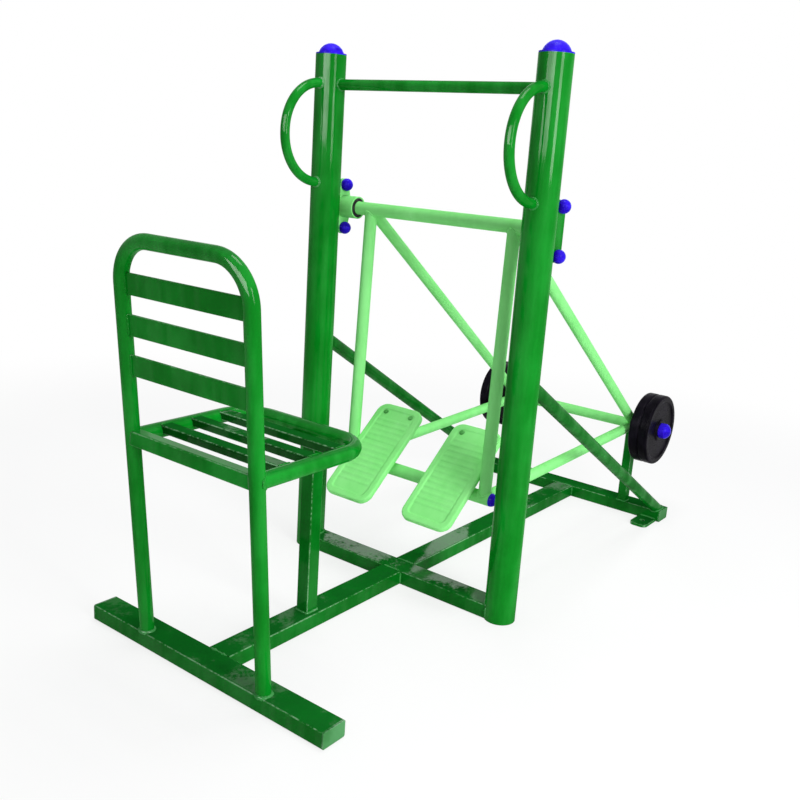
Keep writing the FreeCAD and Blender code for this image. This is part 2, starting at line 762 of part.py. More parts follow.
def bracket_bolts():
    """Bolts through housing and bracket, with nuts and round caps."""
    bolts, nuts, caps = [], [], []
    grip = "flange_thickness + bracket_thickness"
    stem = f"{grip} + nut_height + bolt_tail"
    for end in sides:
        for name, x, y, z in bolt_places(end, "flange_thickness"):
            bolt = body(f"{end}_{name}_bolt")
            head = sketch(bolt, "XY_Plane", f"{end}_{name}_bolt_head")
            hexagon(head, "hex_across")
            pad(bolt, head, "head_height", f"{end}_{name}_bolt_head_pad")
            shank = sketch(bolt, "XY_Plane", f"{end}_{name}_bolt_shank")
            circle(shank, 0, 0, "bolt_diameter")
            pad(bolt, shank, stem, f"{end}_{name}_bolt_shank_pad", backward=True)
            bolts.append(place(bolt, x, y, z, inward(end)))
            cap = bolt_cap(f"{end}_{name}_inner_cap", "head_height")
            caps.append(place(cap, x, y, z, inward(end)))
        outward = Rotation(Vector(1, 0, 0), -90 * sides[end])
        for name, x, y, z in bolt_places(end, "-bracket_thickness"):
            nut = body(f"{end}_{name}_nut")
            drawing = sketch(nut, "XY_Plane", f"{end}_{name}_nut_outline")
            hexagon(drawing, "hex_across")
            circle(drawing, 0, 0, "bolt_diameter + 2 * running_clearance")
            pad(nut, drawing, "nut_height", f"{end}_{name}_nut_pad")
            nuts.append(place(nut, x, y, z, outward))
            cap = bolt_cap(f"{end}_{name}_outer_cap", "nut_height + bolt_tail")
            caps.append(place(cap, x, y, z, outward))
    keep(group("bearing_bolts", bolts), "bearing_bolts")
    keep(group("bearing_nuts", nuts), "bearing_nuts")
    keep(group("bearing_bolt_caps", caps), "bearing_bolt_caps")


def bolt_cap(label, room):
    """A ball-shaped cap with a flat foot and a socket for the hexagon."""
    ball = "bolt_cap_diameter / 2"
    socket = "hex_across / sqrt(3) + cap_clearance"
    foot = f"sqrt(({ball})^2 - bolt_cap_rise^2)"
    depth = f"{room} + cap_clearance"
    return turned(label, [
        ("0", depth), (socket, depth), (socket, "0"), (foot, "0", ball), ("0", f"bolt_cap_rise + {ball}")])


# Swinging frame: round tubes fitted to one another

def swing_rods():
    """Rod, bore and pose of every tube of the swing."""
    rods, bores = {}, {}
    half_pivot = ("post_spacing / 2 + bracket_offset - bracket_thickness / 2"
                  " - hub_length - pivot_tube_gap")
    rods["pivot_tube"], bores["pivot_tube"] = round_tube(
        "pivot_tube", "pivot_tube_diameter", f"2 * ({half_pivot})", "pivot_x", f"-({half_pivot})",
        "pivot_height", along_y)
    rods["pedal_cross_tube"], bores["pedal_cross_tube"] = round_tube(
        "pedal_cross_tube", "pedal_tube_diameter", "pedal_tube_length", "pedal_x",
        "-pedal_tube_length / 2", "pedal_height", along_y)
    rods["rear_cross_tube"], bores["rear_cross_tube"] = round_tube(
        "rear_cross_tube", "rear_tube_diameter", "rear_tube_length", "rear_x",
        "-rear_tube_length / 2", "rear_height", along_y)
    pivot, pedal, rear = ("pivot_x", "pivot_height"), ("pedal_x", "pedal_height"), ("rear_x", "rear_height")
    for end, side in sides.items():
        for part, start, finish, diameter in (("hanger", pivot, pedal, "hanger_diameter"),
                                              ("diagonal", pivot, rear, "swing_tube_diameter"),
                                              ("lower_tube", pedal, rear, "swing_tube_diameter")):
            label = f"{end}_{part}"
            length, rotation = slanted(start, finish)
            rods[label], bores[label] = round_tube(label, diameter, length, start[0],
                                                   f"{side} * hanger_spacing / 2", start[1], rotation)
    return rods, bores


def swing_tubes():
    rods, bores = swing_rods()
    for label in ("pivot_tube", "pedal_cross_tube", "rear_cross_tube"):
        keep(cut(label, rods[label], bores[label]), label)
    for end in sides:
        against = {"hanger": ["pivot_tube", "pedal_cross_tube"],
                   "lower_tube": ["pedal_cross_tube", "rear_cross_tube", f"{end}_hanger"],
                   "diagonal": ["pivot_tube", "rear_cross_tube", f"{end}_hanger", f"{end}_lower_tube"]}
        for part, neighbours in against.items():
            label = f"{end}_{part}"
            keep(cut(label, rods[label], bores[label], *[rods[n] for n in neighbours]), label)
    return rods


def pivot_shafts():
    """Stepped shafts in the ends of the pivot tube, running in the bearings."""
    shafts = []
    plug = "pivot_tube_diameter / 2 - tube_wall - running_clearance"
    journal = "bearing_bore / 2"
    reach = "seal_thickness + bearing_width + pivot_tube_gap"
    for end in sides:
        shaft = turned(f"{end}_pivot_shaft", [
            ("0", f"-({reach})"), (journal, f"-({reach})"), (journal, "0"),
            (plug, "0"), (plug, "2 * pivot_tube_diameter"), ("0", "2 * pivot_tube_diameter")])
        place(shaft, "pivot_x", inner_face(end, "hub_length + pivot_tube_gap"), "pivot_height", inward(end))
        shafts.append(shaft)
    keep(group("pivot_shafts", shafts), "pivot_shafts")


def tube_caps():
    """Domed plugs in the ends of the pedal tube."""
    caps = []
    dome = "pedal_tube_diameter / 2"
    plug = f"{dome} - tube_wall - cap_clearance"
    for end, side in sides.items():
        cap = turned(f"{end}_pedal_tube_cap", [
            ("0", "-tube_cap_plug"), (plug, "-tube_cap_plug"), (plug, "0"), (dome, "0", dome), ("0", dome)])
        place(cap, "pedal_x", f"{side} * pedal_tube_length / 2", "pedal_height",
              Rotation(Vector(1, 0, 0), -90 * side))
        caps.append(cap)
    keep(group("pedal_tube_caps", caps), "pedal_tube_caps")


# Foot plates, drawn flat about the pedal tube's axis and tilted in place

tilt = Rotation(Vector(0, 1, 0), -size("plate_angle"))


def foot_plates():
    """Plates with a rounded border, a sunk panel and raised cross ribs."""
    panel_length = "plate_length - 2 * plate_border"
    panel_width = "plate_width - 2 * plate_border"
    ribs = int(size(f"({panel_length} - 2 * rib_margin) / rib_pitch")) + 1
    for end, side in sides.items():
        label = f"{end}_foot_plate"
        owner = body(label)
        drawing = sketch(owner, "XY_Plane", label + "_outline")
        rounded_rectangle(drawing, "plate_length", "plate_width", "plate_corner")
        plate = pad(owner, drawing, "plate_thickness", label + "_pad")
        doc.recompute()
        top_edges = [f"Edge{n + 1}" for n, edge in enumerate(plate.Shape.Edges)
                     if edge.BoundBox.ZMin > size("plate_thickness") - tolerance]
        rounding = owner.newObject("PartDesign::Fillet", label + "_rounding")
        rounding.Base = (plate, top_edges)
        bind(rounding, Radius="plate_edge_round")
        panel = sketch(owner, "XY_Plane", label + "_panel", "plate_thickness")
        rounded_rectangle(panel, panel_length, panel_width, "panel_corner")
        pocket(owner, panel, "recess_depth", label + "_recess")
        rib = sketch(owner, "XY_Plane", label + "_rib", "plate_thickness - recess_depth")
        start = f"-{ribs - 1} * rib_pitch / 2"
        wide = f"({panel_width}) / 2 - rib_end_gap"
        outline(rib, [(f"{start} - rib_width / 2", f"-({wide})"), (f"{start} + rib_width / 2", f"-({wide})"),
                      (f"{start} + rib_width / 2", wide), (f"{start} - rib_width / 2", wide)])
        rib_pad = pad(owner, rib, "rib_height", label + "_rib_pad")
        rows = owner.newObject("PartDesign::LinearPattern", label + "_ribs")
        rows.Originals = [rib_pad]
        rows.Direction = (rib, ["H_Axis"])
        bind(rows, Length=f"{ribs - 1} * rib_pitch")
        rows.Occurrences = ribs
        owner.Tip = rows
        holes = sketch(owner, "XY_Plane", label + "_holes")
        for x, y in screw_spots():
            circle(holes, x, y, "screw_diameter + 2 * hole_clearance")
        drill = pocket(owner, holes, "plate_thickness", label + "_drilling", backward=True)
        owner.Tip = drill
        stand_on_pedal_tube(owner, side, "plate_rise")
        keep(owner, label)


def screw_spots():
    """Screw places near the upper corners of a plate."""
    for sign in ("", "-"):
        yield "plate_length / 2 - plate_border - screw_margin", f"{sign}strap_spacing / 2"


def stand_on_pedal_tube(thing, side, rise, along="plate_shift"):
    """Tilt a flat piece and set it above the pedal tube."""
    run, lift = f"({along})", f"({rise})"
    cosine, sine = "cos(plate_angle * 1deg)", "sin(plate_angle * 1deg)"
    place(thing, f"pedal_x + {run} * {cosine} - {lift} * {sine}", f"{side} * plate_spacing / 2",
          f"pedal_height + {run} * {sine} + {lift} * {cosine}", tilt)
    return thing


def pedal_straps(tube_rod):
    """Flat bars that carry each plate on the pedal tube."""
    straps, screws = [], []
    back_end = "strap_width"
    stem = "(screw_depth + plate_thickness - recess_depth)"
    for end, side in sides.items():
        for row, sign in enumerate((1, -1)):
            label = f"{end}_strap_{row}"
            owner = body(label + "_bar")
            drawing = sketch(owner, "XY_Plane", label + "_outline")
            low = f"{sign} * strap_spacing / 2 - strap_width / 2"
            high = f"{low} + strap_width"
            near, far = f"-plate_shift - {back_end}", f"strap_length - plate_shift - {back_end}"
            outline(drawing, [(near, low), (far, low), (far, high), (near, high)])
            pad(owner, drawing, "strap_thickness", label + "_pad", backward=True)
            holes = sketch(owner, "XY_Plane", label + "_holes")
            for x, y in screw_spots():
                if y.startswith("-") == (sign < 0):
                    circle(holes, x, y, "screw_diameter + 2 * hole_clearance")
            pocket(owner, holes, "screw_depth + hole_clearance", label + "_drilling")
            stand_on_pedal_tube(owner, side, "plate_rise")
            straps.append(cut(label, owner, tube_rod))
        for row, (x, y) in enumerate(screw_spots()):
            head, slope = "screw_head_diameter / 2", "screw_head_height / 2"
            screw = turned(f"{end}_pedal_screw_{row}", [
                ("0", f"-{stem}"), ("screw_diameter / 2", f"-{stem}"), ("screw_diameter / 2", "0"),
                (head, "0"), (head, slope), (f"{head} - {slope}", "screw_head_height"),
                ("0", "screw_head_height")])
            run, lift = f"(plate_shift + {x})", "(plate_rise + plate_thickness - recess_depth)"
            cosine, sine = "cos(plate_angle * 1deg)", "sin(plate_angle * 1deg)"
            place(screw, f"pedal_x + {run} * {cosine} - {lift} * {sine}", f"{side} * plate_spacing / 2 + {y}",
                  f"pedal_height + {run} * {sine} + {lift} * {cosine}", tilt)
            screws.append(screw)
    keep(group("pedal_straps", straps), "pedal_straps")
    keep(group("pedal_screws", screws), "pedal_screws")


# Weights on the outer ends of the rear tube. Z points away from the machine.

def outward_from_rear(thing, end, offset):
    side = sides[end]
    return place(thing, "rear_x", f"{side} * (rear_tube_length / 2 + {offset})", "rear_height",
                 Rotation(Vector(1, 0, 0), -90 * side))


def weights():
    bore = "axle_diameter / 2 + axle_clearance"
    rim, full, thick = "weight_diameter / 2 - weight_rim", "weight_diameter / 2", "weight_thickness"
    hub, dish, soft = "weight_hub / 2", "weight_dish", "weight_round"
    for end in sides:
        discs = []
        for row in range(2):
            disc = turned(f"{end}_weight_{row}", [
                (bore, "0"), (hub, "0"), (f"{hub} + {dish}", dish), (f"{rim} - {dish}", dish), (rim, "0"),
                (f"{full} - {soft}", "0", soft), (full, soft), (full, f"{thick} - {soft}", soft),
                (f"{full} - {soft}", thick), (rim, thick), (f"{rim} - {dish}", f"{thick} - {dish}"),
                (f"{hub} + {dish}", f"{thick} - {dish}"), (hub, thick), (bore, thick)])
            discs.append(outward_from_rear(disc, end, f"collar_thickness + {row} * weight_thickness"))
        keep(group(f"{end}_weights", discs), f"{end}_weights")


def weight_axles():
    """Collared axles in the rear tube, with a nut and a round cap outside."""
    axles, nuts, caps = [], [], []
    plug = "rear_tube_diameter / 2 - tube_wall - running_clearance"
    pin = "axle_diameter / 2"
    stack = "collar_thickness + 2 * weight_thickness"
    for end in sides:
        axle = turned(f"{end}_weight_axle", [
            ("0", "-2 * axle_diameter"), (plug, "-2 * axle_diameter"), (plug, "0"),
            ("collar_diameter / 2", "0"), ("collar_diameter / 2", "collar_thickness"),
            (pin, "collar_thickness"), (pin, f"{stack} + axle_nut_height"),
            ("0", f"{stack} + axle_nut_height")])
        axles.append(outward_from_rear(axle, end, "0"))
        nut = body(f"{end}_weight_nut")
        drawing = sketch(nut, "XY_Plane", f"{end}_weight_nut_outline")
        hexagon(drawing, "axle_nut_across")
        circle(drawing, 0, 0, "axle_diameter + 2 * running_clearance")
        pad(nut, drawing, "axle_nut_height", f"{end}_weight_nut_pad")
        nuts.append(outward_from_rear(nut, end, stack))
        outer, side, top = "weight_cap_diameter / 2", "weight_cap_side", "weight_cap_length"
        inner, room = f"{outer} - weight_cap_wall", "axle_nut_height + cap_clearance"
        dome = f"(({outer})^2 + ({top} - {side})^2) / (2 * ({top} - {side}))"
        cap = turned(f"{end}_weight_cap", [
            (inner, "0"), (outer, "0"), (outer, side, dome), ("0", top), ("0", room), (inner, room)])
        caps.append(outward_from_rear(cap, end, stack))
    keep(group("weight_axles", axles), "weight_axles")
    keep(group("weight_nuts", nuts), "weight_nuts")
    keep(group("weight_caps", caps), "weight_caps")


post_rods = posts()
beam_bars = floor_beams()
rear_feet()
post_caps()
top_bar()
handles()
braces()
rest_posts()
back_rod = seat_back_frame()
back_slats()
rim_rod = seat_rim()
seat_slats()
seat_support()
pivot_brackets()
bearing_housings()
bearings()
bracket_bolts()
swing = swing_tubes()
pivot_shafts()
tube_caps()
foot_plates()
pedal_straps(swing["pedal_cross_tube"])
weights()
weight_axles()

doc.recompute()

failed = [thing.Label for thing in doc.Objects if {"Invalid", "Error"} & set(thing.State)]
for label, thing in nodes.items():
    if thing.Shape.isNull() or not thing.Shape.isValid() or not thing.Shape.Solids:
        failed.append(label)
if failed:
    raise RuntimeError("these pieces did not build: " + ", ".join(sorted(set(failed))))

os.makedirs("parts", exist_ok=True)
for label, thing in nodes.items():
    thing.Shape.exportStep(f"parts/{label}.step")
    print(f"{label}: {len(thing.Shape.Solids)} solids, {thing.Shape.Volume / 1000:.1f} cm3")
print(f"{len(nodes)} sub-parts written")
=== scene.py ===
import json
import math
import random

import bpy
from mathutils import Matrix, Vector


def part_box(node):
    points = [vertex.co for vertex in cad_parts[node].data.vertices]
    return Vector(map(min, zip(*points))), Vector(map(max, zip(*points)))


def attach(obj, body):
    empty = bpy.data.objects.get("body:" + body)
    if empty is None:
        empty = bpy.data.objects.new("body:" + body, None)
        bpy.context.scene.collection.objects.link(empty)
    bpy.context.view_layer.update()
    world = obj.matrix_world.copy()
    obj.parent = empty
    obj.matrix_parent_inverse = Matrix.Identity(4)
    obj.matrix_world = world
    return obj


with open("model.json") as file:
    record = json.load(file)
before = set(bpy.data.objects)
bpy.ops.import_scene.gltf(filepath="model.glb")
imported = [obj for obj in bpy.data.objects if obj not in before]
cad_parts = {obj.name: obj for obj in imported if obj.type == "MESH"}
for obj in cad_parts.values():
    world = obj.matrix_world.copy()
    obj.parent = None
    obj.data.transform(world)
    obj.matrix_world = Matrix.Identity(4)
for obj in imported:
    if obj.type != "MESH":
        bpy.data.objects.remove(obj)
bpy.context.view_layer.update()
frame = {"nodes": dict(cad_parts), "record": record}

nodes = frame["nodes"]
slotOf = {part["node"]: part["material_slot"] for part in frame["record"]["subparts"]}
print(f"frame loaded: {len(nodes)} nodes")


# shader maths written as plain expressions

class Wire:
    def __init__(self, sheet, socket):
        self.sheet = sheet
        self.socket = socket

    def maths(self, operation, first, second):
        return self.sheet.node("ShaderNodeMath", {"operation": operation}, {0: first, 1: second})

    def most(self, other):
        return self.maths("MAXIMUM", self, other)

    def step(self, low, high):  # 0 below low, 1 above high
        return self.sheet.node("ShaderNodeMapRange", {"interpolation_type": "SMOOTHSTEP"}, {
            "Value": self, "From Min": low, "From Max": high})

    def mingle(self, other, share):  # two patterns in one
        return self * (1 - share) + other * share

    def atLeast(self, least):  # squeezes 0 to 1 into least to 1
        return least + (1 - least) * self

    def around(self, middle, spread):  # 0 to 1 laid about a middle value
        return middle + (self - 0.5) * spread

    def __add__(self, other):
        return self.maths("ADD", self, other)

    def __sub__(self, other):
        return self.maths("SUBTRACT", self, other)

    def __rsub__(self, other):
        return self.maths("SUBTRACT", other, self)

    def __mul__(self, other):
        return self.maths("MULTIPLY", self, other)

    __radd__ = __add__
    __rmul__ = __mul__


class Sheet:
    def __init__(self, tree):
        self.tree = tree
        tree.nodes.clear()

    def node(self, kind, settings=None, sockets=None, out=0):
        made = self.tree.nodes.new(kind)
        for key, value in (settings or {}).items():
            setattr(made, key, value)
        for key, value in (sockets or {}).items():
            if isinstance(value, Wire):
                self.tree.links.new(value.socket, made.inputs[key])
            else:
                made.inputs[key].default_value = value
        return Wire(self, made.outputs[out]) if len(made.outputs) else made

    def place(self):
        return self.node("ShaderNodeTexCoord", out="Object")

    def noise(self, place, scale, detail, roughness):  # three numbers as scale stretch the pattern
        if isinstance(scale, tuple):
            place = self.node("ShaderNodeVectorMath", {"operation": "MULTIPLY"}, {0: place, 1: scale})
            scale = 1.0
        return self.node("ShaderNodeTexNoise", {}, {
            "Vector": place, "Scale": scale, "Detail": detail, "Roughness": roughness})

    def blend(self, share, first, second):  # the colour sockets of a Mix node are 6, 7 and out 2
        def colour(given):
            return given if isinstance(given, Wire) else (*given, 1.0)
        return self.node("ShaderNodeMix", {"data_type": "RGBA"}, {
            0: share, 6: colour(first), 7: colour(second)}, out=2)

    def facing(self, axis):  # one part of the normal, in the piece's own frame
        normal = self.node("ShaderNodeTexCoord", out="Normal")
        return self.node("ShaderNodeSeparateXYZ", {}, {0: normal}, out=axis)

    def offSquare(self):  # 0 on faces square to the axes, more on the rounded edges between them
        x, y, z = (side.maths("ABSOLUTE", side, 0.0) for side in map(self.facing, "XYZ"))
        return 1 - x.most(y).most(z)

    def softEdge(self, radius):  # a rounded normal, and how far it leans from the flat one
        soft = self.node("ShaderNodeBevel", {"samples": 6}, {"Radius": radius})
        flat = self.node("ShaderNodeNewGeometry", out="Normal")
        along = self.node("ShaderNodeVectorMath", {"operation": "DOT_PRODUCT"}, {
            0: soft, 1: flat}, out="Value")
        return soft, 1 - along

    def bump(self, height, strength, depth, over=None):
        sockets = {"Strength": strength, "Distance": depth, "Height": height}
        if over:
            sockets["Normal"] = over
        return self.node("ShaderNodeBump", {}, sockets)

    def surface(self, **sockets):
        words = {"colour": "Base Color", "roughness": "Roughness", "metallic": "Metallic",
                 "normal": "Normal", "shine": "Specular IOR Level", "coat": "Coat Weight",
                 "coatRoughness": "Coat Roughness"}
        named = {words[key]: value for key, value in sockets.items()}
        shader = self.node("ShaderNodeBsdfPrincipled", {}, named)
        self.node("ShaderNodeOutputMaterial", {}, {"Surface": shader})


def newFinish(name):
    made = bpy.data.materials.new(name)
    made.use_nodes = True
    return made, Sheet(made.node_tree)


# In each finish a noise is given as scale, detail and roughness, a step as its low and high end,
# and a bump as its strength and depth.

# paint on the fixed frame: thick brushed gloss with runs, grime and painted shade on top, and edges that
# are rubbed and painted pale as highlights
frameGreen = {
    "name": "frameGreenGloss", "deep": (0.001, 0.17, 0.008), "full": (0.004, 0.255, 0.018),
    "pale": (0.06, 0.33, 0.08), "paleShare": 0.2, "edgeWearAndHighlight": (0.16, 0.36, 0.18), "edgeWearAndHighlightShare": 0.5,
    "grimeAndTopShade": (0.006, 0.105, 0.014), "grimeAndTopShadeShare": 0.6, "undercoat": (0.04, 0.05, 0.03), "chipLow": 0.62,
    "roughness": 0.4, "roughSpread": 0.2, "gloss": 0.27, "topGloss": 0.22, "topGlossLow": 0.0,
    "glossRoughness": 0.07, "runShare": 0.45, "runs": 0.4, "peel": 0.22, "softEdge": 0.003,
    "squareEdges": False}

# the square tubes: fewer runs, edges rubbed pale and painted pale as highlights, darker painted shade on
# the tops, and tops dull but for worn-smooth patches
beamGreen = {
    **frameGreen, "name": "beamGreenGloss", "deep": (0.001, 0.125, 0.007), "full": (0.005, 0.185, 0.016),
    "paleShare": 0.1, "edgeWearAndHighlight": (0.26, 0.48, 0.28), "edgeWearAndHighlightShare": 0.7, "grimeAndTopShadeShare": 0.8, "gloss": 0.2,
    "topGloss": 0.2, "topGlossLow": 0.53, "runShare": 0.1, "runs": 0.3, "squareEdges": True}
walkedGreen = {**beamGreen, "name": "walkedGreenPolished", "topGloss": 0.45, "topGlossLow": 0.46}
endGreen = {
    **beamGreen, "name": "endGreenWorn", "deep": (0.04, 0.19, 0.05), "full": (0.08, 0.28, 0.1),
    "paleShare": 0.35, "edgeWearAndHighlight": (0.3, 0.48, 0.32), "edgeWearAndHighlightShare": 0.8}
# seat slats: a darker copy of the beam paint, painted shade for the slats lying in the seat's shadow
seatShadedGreen = {
    **beamGreen, "name": "seatGreenPaintedShade", "deep": (0.001, 0.06, 0.004), "full": (0.003, 0.105, 0.009)}

# the seat's bars, and the braces in a darker copy with more pale specks: painted shade and painted glints
# on the braces
slatGreen = {
    **frameGreen, "name": "slatGreenGloss", "paleShare": 0.1, "edgeWearAndHighlight": (0.26, 0.48, 0.28), "gloss": 0.2,
    "runShare": 0.15, "runs": 0.2, "squareEdges": True}
braceShadedGreen = {
    **frameGreen, "name": "braceGreenPaintedShade", "deep": (0.001, 0.1, 0.006), "full": (0.004, 0.18, 0.014),
    "paleShare": 0.5}

# thin, rubbed paint over the weld beads, made pale also as painted highlights on them
beadGreen = {
    **frameGreen, "name": "beadGreenThinAndGlinting", "deep": (0.015, 0.2, 0.03), "full": (0.07, 0.31, 0.09),
    "pale": (0.4, 0.5, 0.4), "paleShare": 0.8, "edgeWearAndHighlight": (0.42, 0.5, 0.42), "edgeWearAndHighlightShare": 0.7,
    "grimeAndTopShadeShare": 0.15, "chipLow": 0.7, "softEdge": 0.0015}

# paint on the swing: paler, more matt, with a chalky bloom
swingGreen = {
    "name": "swingGreenSatin", "deep": (0.225, 0.74, 0.215), "full": (0.28, 0.83, 0.27),
    "pale": (0.38, 0.86, 0.37), "paleShare": 0.25, "edgeWearAndHighlight": (0.42, 0.84, 0.4), "edgeWearAndHighlightShare": 0.35,
    "grimeAndTopShade": (0.2, 0.7, 0.17), "grimeAndTopShadeShare": 0.25, "undercoat": (0.1, 0.22, 0.08), "chipLow": 0.66,
    "roughness": 0.5, "roughSpread": 0.2, "gloss": 0.06, "topGloss": 0.03, "topGlossLow": 0.0,
    "glossRoughness": 0.35, "runShare": 0.35, "runs": 0.4, "peel": 0.3, "softEdge": 0.0022,
    "squareEdges": False}
# foot plates: a paler copy of the swing paint as painted light on their faces, and more pale edge paint,
# partly wear and partly painted light against the shade in the rib grooves
pedalLitGreen = {
    **swingGreen, "name": "pedalGreenLitAndWorn", "deep": (0.245, 0.8, 0.23), "full": (0.305, 0.87, 0.285),
    "edgeWearAndHighlight": (0.41, 0.89, 0.37), "edgeWearAndHighlightShare": 0.6}
# pedal screws: a dark copy of the swing paint, painted shade for their shadowed sockets
screwShadedGreen = {
    **swingGreen, "name": "screwGreenPaintedShade", "deep": (0.05, 0.26, 0.05), "full": (0.1, 0.4, 0.1)}

# what all the green paints share
brush = {
    "clouds": (7.0, 4.0, 0.55), "runs": ((36.0, 36.0, 4.0), 3.0, 0.5), "specks": (130.0, 5.0, 0.62),
    "peel": (360.0, 2.0, 0.45), "dust": (26.0, 5.0, 0.6), "coats": (0.34, 0.66), "paleRuns": (0.6, 0.8),
    "paleSpecks": (0.42, 0.6), "tops": (0.5, 0.95), "dusty": (0.35, 0.65), "dustLeast": 0.7,
    "edge": (0.01, 0.1), "squareEdge": (0.04, 0.2), "edgeWearAndHighlightSteps": (0.43, 0.58), "edgeWearAndHighlightSpecks": 0.5,
    "chipEdge": (0.03, 0.14), "chipSpan": 0.07, "chipRoughness": 0.3, "chipDepth": 0.5,
    "lasting": (0.42, 0.58), "lastingRuns": 0.7, "lastingLeast": 0.5, "polishSpan": 0.08,
    "polishSpecks": 0.25, "bump": (0.35, 0.0012)}


def paintFinish(look):
    made, sheet = newFinish(look["name"])
    place = sheet.place()
    clouds = sheet.noise(place, *brush["clouds"])  # uneven coats
    runs = sheet.noise(place, *brush["runs"])  # brushed and run downwards
    specks = sheet.noise(place, *brush["specks"])
    peel = sheet.noise(place, *brush["peel"])
    coats = clouds.mingle(runs, look["runShare"]).step(*brush["coats"])
    colour = sheet.blend(coats, look["deep"], look["full"])
    # pale thin paint along the runs; on the braces and the weld beads these pale specks also stand as
    # painted glints
    thinPaintAndGlints = runs.step(*brush["paleRuns"]) * specks.step(*brush["paleSpecks"])
    colour = sheet.blend(thinPaintAndGlints * look["paleShare"], colour, look["pale"])
    # upward faces take a darker colour: partly settled dust, partly painted shade for the weaker light on
    # tops
    top = sheet.facing("Z").step(*brush["tops"])
    dust = sheet.noise(place, *brush["dust"]).step(*brush["dusty"])
    topShadeAndDust = top * dust.atLeast(brush["dustLeast"])
    colour = sheet.blend(topShadeAndDust * look["grimeAndTopShadeShare"], colour, look["grimeAndTopShade"])
    soft, corner = sheet.softEdge(look["softEdge"])
    edge = corner.step(*brush["edge"])
    if look["squareEdges"]:
        edge = edge.most(sheet.offSquare().step(*brush["squareEdge"]))
    # edges made pale: partly rubbed wear, partly painted highlights along the rounded edges
    edgeWearAndHighlight = edge * clouds.mingle(specks, brush["edgeWearAndHighlightSpecks"]).step(*brush["edgeWearAndHighlightSteps"])
    colour = sheet.blend(edgeWearAndHighlight * look["edgeWearAndHighlightShare"], colour, look["edgeWearAndHighlight"])
    flakes = specks.step(look["chipLow"], look["chipLow"] + brush["chipSpan"])
    chips = corner.step(*brush["chipEdge"]) * flakes
    colour = sheet.blend(chips, colour, look["undercoat"])
    roughness = specks.around(look["roughness"], look["roughSpread"]) + chips * brush["chipRoughness"]
    height = runs * look["runs"] + peel * look["peel"] - chips * brush["chipDepth"]
    lasting = clouds.mingle(runs, brush["lastingRuns"]).step(*brush["lasting"])  # gloss left on the sides
    sideGloss = lasting.atLeast(brush["lastingLeast"]) * look["gloss"]
    polished = clouds.mingle(specks, brush["polishSpecks"])  # gloss on the tops
    polished = polished.step(look["topGlossLow"], look["topGlossLow"] + brush["polishSpan"])
    topGloss = polished * look["topGloss"]
    sheet.surface(colour=colour, roughness=roughness, shine=0.0, coatRoughness=look["glossRoughness"],
                  coat=(1 - chips) * ((1 - top) * sideGloss + top * topGloss),
                  normal=sheet.bump(height, *brush["bump"], soft))
    return made


# blue caps: moulded plastic, bleached a little on top
capBlue = {
    "name": "capBlueMoulded", "deep": (0.012, 0.002, 0.42), "full": (0.035, 0.012, 0.72),
    "bleached": (0.045, 0.02, 0.8), "bleachShare": 0.5, "bleach": (0.5, 1.0),
    "scuff": (0.2, 0.2, 0.75), "scuffShare": 0.3, "scuffs": (0.64, 0.74), "scuffRoughness": 0.25,
    "flow": ((30.0, 30.0, 75.0), 3.0, 0.5), "flows": (0.3, 0.7), "grain": (520.0, 3.0, 0.5),
    "scratches": ((900.0, 120.0, 260.0), 2.0, 0.6), "roughness": 0.24, "roughSpread": 0.12, "shine": 0.03,
    "grainHeight": 0.5, "scuffDepth": 0.4, "bump": (0.2, 0.0005)}


def capFinish(look):
    made, sheet = newFinish(look["name"])
    place = sheet.place()
    flow = sheet.noise(place, *look["flow"])
    grain = sheet.noise(place, *look["grain"])
    scuffs = sheet.noise(place, *look["scratches"]).step(*look["scuffs"])
    colour = sheet.blend(flow.step(*look["flows"]), look["deep"], look["full"])
    bleached = sheet.facing("Z").step(*look["bleach"]) * look["bleachShare"]
    colour = sheet.blend(bleached, colour, look["bleached"])
    colour = sheet.blend(scuffs * look["scuffShare"], colour, look["scuff"])
    roughness = grain.around(look["roughness"], look["roughSpread"]) + scuffs * look["scuffRoughness"]
    height = grain * look["grainHeight"] + flow - scuffs * look["scuffDepth"]
    sheet.surface(colour=colour, roughness=roughness, shine=look["shine"],
                  normal=sheet.bump(height, *look["bump"]))
    return made


# weight discs: cast iron under worn black paint
discBlack = {
    "name": "discBlackCast", "deep": (0.0015, 0.0012, 0.0025), "full": (0.007, 0.0055, 0.01),
    "worn": (0.04, 0.036, 0.045), "wornShare": 0.8, "wornEdge": (0.01, 0.08), "wornPatches": (0.42, 0.62),
    "wornSand": 0.4, "wornRoughness": 0.1, "sand": (330.0, 4.0, 0.6), "patch": (24.0, 4.0, 0.6),
    "patches": (0.3, 0.72), "roughness": 0.3, "roughSpread": 0.3, "shine": 0.02, "softEdge": 0.003,
    "patchHeight": 0.4, "bump": (0.45, 0.0011)}


def discFinish(look):
    made, sheet = newFinish(look["name"])
    place = sheet.place()
    sand = sheet.noise(place, *look["sand"])
    patch = sheet.noise(place, *look["patch"])
    colour = sheet.blend(patch.step(*look["patches"]), look["deep"], look["full"])
    soft, corner = sheet.softEdge(look["softEdge"])
    bare = patch.mingle(sand, look["wornSand"]).step(*look["wornPatches"])
    worn = corner.step(*look["wornEdge"]) * bare
    colour = sheet.blend(worn * look["wornShare"], colour, look["worn"])
    roughness = sand.around(look["roughness"], look["roughSpread"]) + worn * look["wornRoughness"]
    sheet.surface(colour=colour, roughness=roughness, shine=look["shine"],
                  normal=sheet.bump(sand + patch * look["patchHeight"], *look["bump"], soft))
    return made


